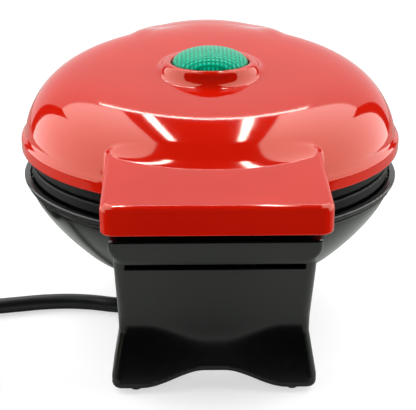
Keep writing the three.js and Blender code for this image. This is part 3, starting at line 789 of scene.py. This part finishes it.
def ridge(across, away):
    """The nearest ridge of a row of six, drafted and rounded along its crest."""
    near = np.clip(np.round(across / RIDGE_PITCH - 0.5), -3, 2) + 0.5
    beside = np.abs(across - near * RIDGE_PITCH)
    crest = RIDGE_BELOW_PARTING - PARTING_GAP
    side = (beside - RIDGE_CREST_HALF - RIDGE_DRAFT * (away - crest)) * DRAFT_SCALE
    return np.maximum(round_cut(side, crest - away, 0.8), away - POCKET_DEPTH - 1)


def make_plates():
    across = PLATE_RADIUS + 2
    step = 0.6
    for name, side, body in (("lower", -1, "base"), ("upper", 1, "lid")):
        ends = sorted((PARTING_Z - side * 2, PARTING_Z + side * 18))
        space = (-across, -across, ends[0]), (across, across, ends[1])
        node = [f"{name}_waffle_plate"]
        moulded(f"{name}_plate", plate_field(side), space, body, "plate_coating", node, step)


# ---------------------------------------------------------------- base
def bowl(x, y, z, inset):
    """A bowl that draws in towards its flat floor."""
    down = np.maximum(BOWL_WAIST_Z - z, 0)
    steep = BOWL_CURVE * BOWL_POWER * down ** (BOWL_POWER - 1)
    radius = BOWL_RADIUS - BOWL_CURVE * down**BOWL_POWER - inset
    side = (np.hypot(x, y) - radius) / np.sqrt(1 + steep**2)
    return round_cut(side, BOWL_LOW_Z + inset - z, BOWL_CORNER)


def leg(x, y, z, inset):
    """Both legs: they are the same at the front and the back, with a waist that is lower in the middle."""
    out = np.abs(y)
    waist = WAIST_LOW_Z + WAIST_CLIMB * smooth_step(np.abs(x), 2, 22)
    above = z - waist
    rise = (np.sqrt(above**2 + 4) + above) / 2  # the height above the waist, starting smoothly
    fall = np.maximum((waist + 1 - z) / (waist - 1), 0)
    kick = FOOT_KICK * (waist - 1) * fall**FOOT_KICK_POWER
    face = WAIST_Y + FACE_LEAN * rise / (FACE_TOP_Z - waist) + kick
    flare = FLARE * np.maximum((FLARE_TOP_Z - z) / FLARE_HEIGHT, 0)
    widen = WIDEN * np.clip((z - WIDEN_LOW_Z) / WIDEN_HEIGHT, 0, 1)
    side = np.abs(x) - (LEG_HALF + np.minimum(flare + widen, FLARE_MOST) - inset)
    plan = round_cut(side, (out - face + inset) / 1.06, LEG_CORNER)
    plan = round_cut(plan, LEG_INNER_Y + inset - out, 1.2)
    return np.maximum(plan, z - LEG_TOP_Z)


def foot_edge(x):
    """Height of the leg's lower edge: two pads with an arch between them."""
    return FOOT_Z + FOOT_ARCH * (1 - smooth_step(np.abs(x), 3, 23))


def tab(x, y, z):
    """The tab under the handle, whose face leans back towards its lower edge."""
    face = round_cut(np.abs(x) - TAB_HALF, TAB_LOW_Z - z, TAB_CORNER)
    lean = TAB_LEAN * (TAB_TOP_Z - z) / (TAB_TOP_Z - TAB_LOW_Z)
    ends = round_cut(face, (TAB_FRONT + lean - y) * 0.91, 1.6)
    return all_of(round_cut(ends, z - TAB_TOP_Z, 0.6), y - TAB_BACK, 58 - np.hypot(x, y))


def groove(x, y, z):
    """A shallow slot across the leg's face, just under the tab."""
    height = slab(z, GROOVE_LOW_Z, GROOVE_HIGH_Z)
    return round_box([np.abs(x) - GROOVE_HALF, height, slab(y, -80, GROOVE_FLOOR_Y)], 0.3)


def rimmed_bowl(x, y, z):
    """The bowl with the step and the lip under its top edge."""
    far = np.hypot(x, y)
    step = round_box([far - STEP_RADIUS, slab(z, STEP_LOW_Z, BOWL_TOP_Z + 3)], 0.5)
    lip = round_box([far - BASE_LIP_RADIUS, slab(z, BASE_LIP_LOW_Z, BOWL_TOP_Z + 3)], 0.5)
    return round_cut(any_of(fillet_join(bowl(x, y, z, 0), step, 0.4), lip), z - BOWL_TOP_Z, 0.5)


def base_outside(x, y, z):
    """The bowl with its hollow legs, tab, groove and hinge knuckles, and the distance from the pin."""
    outer = rimmed_bowl(x, y, z)
    legs = round_cut(leg(x, y, z, 0), foot_edge(x) - z, 1.7)
    hollow = all_of(leg(x, y, z, WALL), -outer, z - HOLLOW_TOP_Z)
    outside = fillet_join(outer, round_cut(legs, -hollow, 0.3), 1.5)
    outside = fillet_join(outside, tab(x, y, z), 0.9)
    outside = round_cut(outside, -groove(x, y, z), 0.3)
    arms, from_pin = knuckle(x, y, z, BASE_KNUCKLE_X, PARTING_Z - 9, PARTING_Z - PARTING_GAP)
    depth, height = slab(y, LEDGE_FRONT_Y, HINGE_Y - 1.6), slab(z, LEDGE_LOW_Z, LEDGE_HIGH_Z)
    ledge = round_box([np.abs(x) - LEDGE_HALF, depth, height], 0.6)
    return fillet_join(outside, fillet_join(arms, ledge, 0.8), 1.0), from_pin


def base_housing_field(x, y, z):
    outside, from_pin = base_outside(x, y, z)
    rebate = np.maximum(np.hypot(x, y) - REBATE_RADIUS, BOWL_TOP_Z - REBATE_DEPTH - z)
    shell = round_cut(outside, -any_of(bowl(x, y, z, WALL), rebate), 0.25)
    post = nearest_of_three(x, y, BOSS_CIRCLE)
    towers = all_of(post - STAND_RADIUS, z - STAND_TOP_Z, BOWL_LOW_Z + 1 - z)
    shell = any_of(shell, towers)
    shell = round_cut(shell, -all_of(post - SCREW_WELL, z - SCREW_WELL_TOP_Z), 0.3)
    relief = all_of(np.hypot(x, z - LEAD_Z) - LEAD_HOLE, slab(y, 40, 55))
    lead_notch = all_of(np.abs(x) - NOTCH_HALF, slab(y, 52, HINGE_Y - 1), 48 - z)
    return all_of(shell, SCREW_HOLE - post, -relief, -lead_notch, PIN_BORE - from_pin)


def make_base_housing():
    space = cells_round("base_housing", 2)
    moulded("base_shell", base_housing_field, space, "base", "black_satin", ["base_housing"])


# ---------------------------------------------------------------- small parts
ALONG_X = ((0, 0, 1), (0, 1, 0), (-1, 0, 0))  # turns a profile's Z to +X
TO_FRONT = ((1, 0, 0), (0, 0, -1), (0, 1, 0))  # turns a profile's Z to -Y
SCREW_HEAD = 2.8
SHANK_RADIUS = 1.03
THREAD_PITCH = 1.1
RECESS_REACH = 1.7
RECESS_HALF = 0.35


def turned_piece(name, profile, slot, node, place, turn=None, sides=48):
    """A lathe piece of the base, turned by a matrix and put at a place counted from the lid's axis."""
    points, faces = lathe(profile, sides)
    if turn is not None:
        points = points @ np.array(turn).T
    points = points + np.array(place) + np.array([0, AXIS_Y, 0])
    piece_from(name, points, faces, "base", slot, [node])


def rounded_end(radius, end, edge):
    """The last points of a profile: a rounded corner and the centre of a flat end."""
    turns = [math.radians(22.5 * i) for i in range(5)]
    corner = [(radius - edge * (1 - math.cos(t)), end - edge * (1 - math.sin(t))) for t in turns]
    return [*corner, (0, end)]


def make_hinge_pins():
    tip = rounded_end(PIN_RADIUS, PIN_LENGTH, 0.5)
    profile = [*[(r, PIN_LENGTH - z) for r, z in reversed(tip)], *tip]
    for hand, x in (("left", -PIN_X - PIN_LENGTH), ("right", PIN_X)):
        place = (x, HINGE_Y, PARTING_Z)
        turned_piece(f"pin_{hand}", profile, "screw_steel", f"hinge_pin_{hand}", place, ALONG_X, 32)


def make_feet():
    profile = [(0, 0), (1.6, 0), (1.78, 0.08), (1.86, 0.25), (2.1, 0.85), (2.3, 1.2), (0, 1.2)]
    for row, y in (("front", -FOOT_Y), ("rear", FOOT_Y)):
        for hand, x in (("left", -FOOT_X), ("right", FOOT_X)):
            turned_piece(f"{row}_nub_{hand}", profile, "foot_rubber", f"{row}_foot_{hand}", (x, y, 0))


def screw_field(x0, y0, head_z, tip_z):
    """A pan-head screw with a cross recess and a shallow thread."""
    into = 1 if tip_z > head_z else -1
    length = abs(tip_z - head_z)

    def field(x, y, z):
        along = into * (z - head_z)
        far = np.hypot(x - x0, y - y0)
        head = round_box([far - SCREW_HEAD, slab(along, 0, 1.8)], 0.7)
        turn = np.arctan2(y - y0, x - x0)
        thread = 0.12 * np.cos(2 * math.pi * along / THREAD_PITCH - turn)
        shank = round_box([far - SHANK_RADIUS - thread, slab(along, 1, length)], 0.2)
        slots = any_of(
            round_box([np.abs(x - x0) - RECESS_REACH, np.abs(y - y0) - RECESS_HALF], 0.1),
            round_box([np.abs(y - y0) - RECESS_REACH, np.abs(x - x0) - RECESS_HALF], 0.1),
        )
        return np.maximum(any_of(head, shank), -np.maximum(slots, along - 1.1 + 0.3 * far))

    return field


def make_screws():
    reach = SCREW_HEAD + 0.4
    rows = [  # kind, body, circle and the heights of the head and the tip
        ("lid_screw", "lid", SCREW_CIRCLE, 64.9, 73.6),
        ("upper_plate_screw", "lid", BOSS_CIRCLE, 79.8, 70.6),
        ("base_screw", "base", BOSS_CIRCLE, 31.9, 48),
    ]
    step = 0.28
    for kind, body, circle, head_z, tip_z in rows:
        for i, (x, y) in enumerate(ring_places(circle)):
            field = screw_field(x, y, head_z, tip_z)
            low = (x - reach, y - reach, min(head_z, tip_z) - 0.5)
            high = (x + reach, y + reach, max(head_z, tip_z) + 0.5)
            name, node = f"{kind}_fine_{i + 1}", f"{kind}_{i + 1}"
            moulded(name, field, (low, high), body, "screw_steel", [node], step)


def liner_field(x, y, z):
    """The handle's underside: a plate with finger grooves across it."""
    low = LID_Z + 1.6
    gap = 0.3
    front = HANDLE_FRONT + WALL + gap
    side = np.abs(x) - (HANDLE_HALF - WALL - gap)
    plan = all_of(round_cut(side, front - y, 3), y + 60, 64.7 - np.hypot(x, y))
    plate = round_cut(round_cut(plan, low - z, 0.4), z - low - 2, 0.3)
    pitch = 4
    wave = np.abs((y - front) / pitch - np.round((y - front) / pitch)) * pitch
    grooves = all_of(wave - 0.7 + 1.2 * (z - low), np.abs(x) - 24, z - low - 0.6, front + 3 - y)
    return np.maximum(plate, -grooves)


def make_handle_liner():
    space = cells_round("handle_liner", 1)
    moulded("handle_underside", liner_field, space, "lid", "black_satin", ["handle_liner"], FINE * 0.7)


def make_strain_relief():
    """A tapered sleeve with flexing ribs, and a flange behind the leg's wall."""
    length, start, end = 20, 4.1, 3.3
    flange = [(0, -4.2), (5.2, -4.2), (5.6, -3.9), (5.6, -3.0), (5.2, -2.7), (4.0, -2.7)]
    profile = [*flange, (4.0, 0), (start, 0.1)]
    ribs = 8
    pitch = (length - 3.2) / ribs
    for i in range(ribs):
        z = 1.6 + i * pitch
        radius = start + (end - start) * z / length
        profile += [(radius, z), (radius - 0.65, z + 0.25), (radius - 0.65, z + 0.75), (radius, z + 1.0)]
    profile += rounded_end(end, length, 0.4)
    place = (0, LEG_INNER_Y - 0.3, LEAD_Z)
    turned_piece("lead_sleeve", profile, "lead_plastic", "strain_relief", place, TO_FRONT)


# ---------------------------------------------------------------- plug
PLUG_X = -92.6
PLUG_NECK_Y = -26
PLUG_Z = 7.6
PLUG_HALF = 12.4
PLUG_NECK_HALF = 6
PLUG_NECK_LENGTH = 11.4
PLUG_LENGTH = 38
PLUG_THICKNESS_HALF = 7.2
GRIP_PITCH = 3.2
RIB_PITCH = 2.4
BLADE_X = 6.35
BLADE_START = 38.3
BLADE_LENGTH = 15.8
BLADE_HALF = 3.2


def plug_field(x, y, z):
    """A moulded body with tapered shoulders, finger grooves and a ribbed neck."""
    across, back, up = x - PLUG_X, PLUG_NECK_Y - (y + AXIS_Y), z - PLUG_Z
    half = np.clip(PLUG_NECK_HALF + (back - PLUG_NECK_LENGTH) * 0.97, 0, PLUG_HALF)
    side = (np.abs(across) - half) * 0.75
    wave = np.clip(np.cos(2 * math.pi * (back - 20) / GRIP_PITCH), 0, 1)
    grip = 0.5 * wave * (np.abs(back - 26) < 2 * GRIP_PITCH)
    body = round_cut(side + grip, slab(back, PLUG_NECK_LENGTH, PLUG_LENGTH), 2.2)
    body = round_cut(body, np.abs(up) - PLUG_THICKNESS_HALF + 0.0012 * across**2, 2.6)
    rings = 0.35 * (np.cos(2 * math.pi * back / RIB_PITCH) > 0.3) * (back < 10.5)
    neck = round_cut(np.hypot(across, up) - (3.2 + 1.4 * back / 13) + rings, slab(back, 0, 13), 0.3)
    return fillet_join(body, neck, 2.0)


def blade_field(side):
    """A flat blade with a rounded, bevelled tip and a hole."""

    def field(x, y, z):
        across = x - (PLUG_X + side * BLADE_X)
        back, up = PLUG_NECK_Y - BLADE_START - (y + AXIS_Y), z - PLUG_Z
        bevel = 0.25 * np.maximum(back - 13.5, 0)
        sides = [np.abs(across) - 0.75 + bevel, slab(back, 0, BLADE_LENGTH), np.abs(up) - BLADE_HALF + bevel]
        return np.maximum(round_box(sides, 0.2), 1.6 - np.hypot(back - 11.5, up))

    return field


def make_plug():
    """The plug's body and its two blades."""
    step = 0.45
    space = cells_round("plug_body", 1)
    pieces = [moulded("plug_grip", plug_field, space, "base", "lead_plastic", ["plug_body"], step)]
    for hand, side in (("left", -1), ("right", 1)):
        node = f"plug_blade_{hand}"
        space = cells_round(node, 1)
        blade = moulded(f"blade_{hand}", blade_field(side), space, "base", "blade_brass", [node], step * 0.7)
        pieces.append(blade)
    return pieces


# ---------------------------------------------------------------- lead
def bundle_outline(offset, floor):
    """The outline round the coil's three turns, as [radius, height] points, kept above a height."""
    centres = [(turn, CORD_ON_FLOOR) for turn in (COIL_OUTER, COIL_MIDDLE, COIL_INNER)]
    outline = []
    for i in range(36):
        angle = math.radians(10 * i)
        way = (math.cos(angle), math.sin(angle))
        reach = max(centres, key=lambda c: c[0] * way[0] + c[1] * way[1])
        radius = CORD_DIAMETER / 2 + offset
        outline.append((reach[0] + radius * way[0], max(reach[1] + radius * way[1], floor)))
    return outline


def beside_coil(radius, angle, height):
    """A place round the coil's centre."""
    return COIL_CENTRE + Vector((radius * math.cos(angle), radius * math.sin(angle), height))


def make_coil_tie():
    """A thin strap round the coil's turns."""
    loops = (bundle_outline(0.05, 0.08), bundle_outline(0.45, 0.02))
    rows = 5
    angles = [math.radians(TIE_ANGLE + TIE_STEP * row) for row in range(rows)]
    points = [tuple(beside_coil(r, angle, z)) for loop in loops for angle in angles for r, z in loop]
    count = len(loops[0])
    layer = rows * count
    faces = []
    for i in range(count):
        j = (i + 1) % count
        for row in range(rows - 1):
            a, b = row * count, (row + 1) * count
            faces.append((a + i, b + i, b + j, a + j))
            faces.append((layer + a + i, layer + a + j, layer + b + j, layer + b + i))
        last = (rows - 1) * count
        faces.append((i, j, layer + j, layer + i))
        faces.append((last + j, last + i, layer + last + i, layer + last + j))
    return piece_from("coil_tie", points, faces, "base", "lead_plastic")


def coil_points():
    """The coil's turns and the passages between them, clockwise seen from above."""
    points = []
    for i in range(COIL_POINTS):
        angle = COIL_STATIONS[0][0] - COIL_STEP * i
        for (first, *start), (last, *end) in zip(COIL_STATIONS, COIL_STATIONS[1:]):
            if last <= angle <= first:
                part = (first - angle) / (first - last)
                part = part * part * (3 - 2 * part)
                radius, height = (a + (b - a) * part for a, b in zip(start, end))
        points.append(tuple(beside_coil(radius, math.radians(angle), height)))
    return points


def make_lead(plug):
    """The mains lead: a round curve along the route, the coil and the tail."""
    points = [Vector(p) * MM for p in (*CORD_ROUTE, *coil_points(), *CORD_TAIL)]
    curve = bpy.data.curves.new("mains_lead", "CURVE")
    curve.dimensions = "3D"
    curve.bevel_depth = CORD_DIAMETER / 2 * MM
    curve.bevel_resolution = 5
    curve.resolution_u = 8
    curve.use_fill_caps = True
    spline = curve.splines.new("BEZIER")
    spline.bezier_points.add(len(points) - 1)
    for i, (knot, place) in enumerate(zip(spline.bezier_points, points)):
        before = points[max(i - 1, 0)]
        after = points[min(i + 1, len(points) - 1)]
        way = (after - before).normalized()
        knot.co = place
        knot.handle_left_type = knot.handle_right_type = "FREE"
        knot.handle_left = place - way * max((place - before).length, 2 * MM) / 3
        knot.handle_right = place + way * max((after - place).length, 2 * MM) / 3
    curve.materials.append(MATERIALS["lead_plastic"])
    lead = bpy.data.objects.new("mains_lead", curve)
    bpy.context.scene.collection.objects.link(lead)
    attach(lead, "base")
    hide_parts("power_cord", "cord_coil", "cord_tail")
    make_coil_tie()


# ---------------------------------------------------------------- studio, in metres
SHEET_HALF = 3
# The card holds a painted reflection: a sheet only glossy rays see, with the floor painted grey near the
# appliance, darker grey farther off and black in front.
CARD_HEIGHT = 0.0003
CARD_EDGE_Y = -0.093
CARD_NEAR = 0.09
CARD_FAR = 0.13
CARD_NEAR_GREY = (0.60, 0.63, 0.59)
CARD_FAR_GREY = (0.25, 0.26, 0.24)
CARD_BLACK = (0.002, 0.002, 0.002)
PAPER_GLOW = 0.60

# Light box: white walls and a white ceiling with a slot along its middle, open and dark in front
BOX_HALF = 0.66
BOX_HEIGHT = 0.78
BOX_BACK = 0.80
BOX_FRONT = -0.30
WALL_BACK = 0.60
SLOT_HALF = 0.155
WALL_RADIANCE = 2.85
BACK_RADIANCE = 0.85

# Lamps along the slot, one across the back wall and a weak panel in front that isn't mirrored
LAMP_X = 0.092
LAMP_Y = 0.54
LAMP_SIZE = (0.02, 0.50)
BACK_LAMP_SIZE = (0.44, 0.008)
LAMP_RADIANCE = 22
FILL_PLACE = (0, -0.9, 0.45)
FILL_SIZE = (1.4, 0.7)
FILL_RADIANCE = 0.65
WORLD_STRENGTH = 0.02


def make_camera():
    data = bpy.data.cameras.new("camera")
    data.lens = CAMERA_LENS
    data.sensor_width = 36
    data.clip_start = 0.01
    camera = bpy.data.objects.new("camera", data)
    bpy.context.scene.collection.objects.link(camera)
    view = (CAMERA_TARGET - CAMERA_PLACE).to_track_quat("-Z", "Y").to_matrix()
    turn = Matrix.Rotation(CAMERA_ROLL, 3, "Z")
    camera.matrix_world = Matrix.Translation(CAMERA_PLACE * MM) @ (view @ turn).to_4x4()
    bpy.context.scene.camera = camera


def area_light(name, place, facing, size, radiance):
    """A soft panel of a given radiance that lights and reflects, but isn't itself in the picture."""
    data = bpy.data.lights.new(name, "AREA")
    data.shape = "RECTANGLE"
    data.size, data.size_y = size
    data.energy = radiance * math.pi * size[0] * size[1]
    light = bpy.data.objects.new(name, data)
    turn = Vector(facing).to_track_quat("-Z", "Y").to_matrix().to_4x4()
    light.matrix_world = Matrix.Translation(Vector(place)) @ turn
    light.visible_camera = False
    bpy.context.scene.collection.objects.link(light)
    return light


def flat_sheet(name, z, material):
    """A level sheet of the studio."""
    mesh = bpy.data.meshes.new(name)
    corners = [(x * SHEET_HALF, y * SHEET_HALF, z) for x, y in ((-1, -1), (1, -1), (1, 1), (-1, 1))]
    mesh.from_pydata(corners, [], [(0, 1, 2, 3)])
    mesh.materials.append(material)
    sheet = bpy.data.objects.new(name, mesh)
    bpy.context.scene.collection.objects.link(sheet)
    return sheet


def floor_paper():
    """White paper that glows a little, so that it stays white in the picture."""
    paper = Nodes("floor_paper", Roughness=0.9, IOR=1.2, Emission_Color=(1, 1, 1, 1))
    paper.shader.inputs["Emission Strength"].default_value = PAPER_GLOW
    shades = ((0.3, (0.49, 0.49, 0.49)), (0.7, (0.51, 0.51, 0.51)))
    paper.link(paper.ramp(paper.noise(6), *shades), "Base Color")
    return paper.material


def painted_reflection_grey():
    """Painted reflection: what glossy surfaces see of the floor, a sheet painted dimmer than the paper, grey near
    the appliance, darker grey farther off and black in front of it.
    """
    card = Nodes("painted_reflection_grey", Roughness=1.0, IOR=1.0)
    along = card.node("ShaderNodeSeparateXYZ")
    card.tree.links.new(card.place, along.inputs["Vector"])
    step = card.node("ShaderNodeMapRange")
    step.inputs["From Min"].default_value = CARD_EDGE_Y - 0.004
    step.inputs["From Max"].default_value = CARD_EDGE_Y + 0.004
    card.tree.links.new(along.outputs["Y"], step.inputs["Value"])
    far = card.node("ShaderNodeVectorMath", operation="LENGTH")
    card.tree.links.new(card.place, far.inputs[0])
    near = card.ramp(far.outputs["Value"], (CARD_NEAR, CARD_NEAR_GREY), (CARD_FAR, CARD_FAR_GREY))
    front = card.ramp(step.outputs["Result"], (0.0, CARD_BLACK), (1.0, (1, 1, 1)))
    both = card.node("ShaderNodeVectorMath", operation="MULTIPLY")
    card.tree.links.new(near, both.inputs[0])
    card.tree.links.new(front, both.inputs[1])
    card.link(both.outputs["Vector"], "Base Color")
    return card.material


def make_floor():
    flat_sheet("floor", 0, floor_paper())
    card = flat_sheet("painted_reflection_card", CARD_HEIGHT, painted_reflection_grey())
    # painted reflection: the card is seen only in reflections, never by the camera, by diffuse light or by shadows
    card.visible_camera = card.visible_diffuse = card.visible_shadow = card.visible_transmission = False


def make_studio():
    make_floor()
    scene = bpy.context.scene
    scene.view_settings.view_transform = "Standard"
    world = bpy.data.worlds.new("studio")
    world.use_nodes = True
    background = world.node_tree.nodes["Background"]
    background.inputs["Color"].default_value = (1, 1, 1, 1)
    background.inputs["Strength"].default_value = WORLD_STRENGTH
    scene.world = world
    middle_z = BOX_HEIGHT / 2
    ceiling_size = (BOX_HALF - SLOT_HALF, BOX_BACK - BOX_FRONT)
    wall_size = (WALL_BACK - BOX_FRONT, BOX_HEIGHT)
    down = (0, 0, -1)
    for side, hand in ((-1, "left"), (1, "right")):
        ceiling_place = (side * (BOX_HALF + SLOT_HALF) / 2, (BOX_BACK + BOX_FRONT) / 2, BOX_HEIGHT)
        wall_place = (side * BOX_HALF, (BOX_FRONT + WALL_BACK) / 2, middle_z)
        lamp_place = (side * LAMP_X, LAMP_Y, BOX_HEIGHT - 0.01)
        area_light(f"ceiling_{hand}", ceiling_place, down, ceiling_size, WALL_RADIANCE)
        area_light(f"wall_{hand}", wall_place, (-side, 0, 0), wall_size, WALL_RADIANCE)
        area_light(f"lamp_{hand}", lamp_place, down, LAMP_SIZE, LAMP_RADIANCE)
    area_light("back", (0, BOX_BACK, middle_z), (0, -1, 0), (2 * BOX_HALF, BOX_HEIGHT), BACK_RADIANCE)
    back_lamp_place = (0, BOX_BACK - 0.01, BOX_HEIGHT - 0.03)
    area_light("back_lamp", back_lamp_place, (0, -1, -0.3), BACK_LAMP_SIZE, LAMP_RADIANCE)
    fill = area_light("front_fill", FILL_PLACE, (0, 0.9, -0.4), FILL_SIZE, FILL_RADIANCE)
    fill.visible_glossy = False


make_camera()
make_lead(make_plug())
dress_frame()
make_studio()
make_lid_cover()
make_lens()
make_rings()
make_plates()
make_base_housing()
make_handle_liner()
make_screws()
make_hinge_pins()
make_feet()
make_strain_relief()
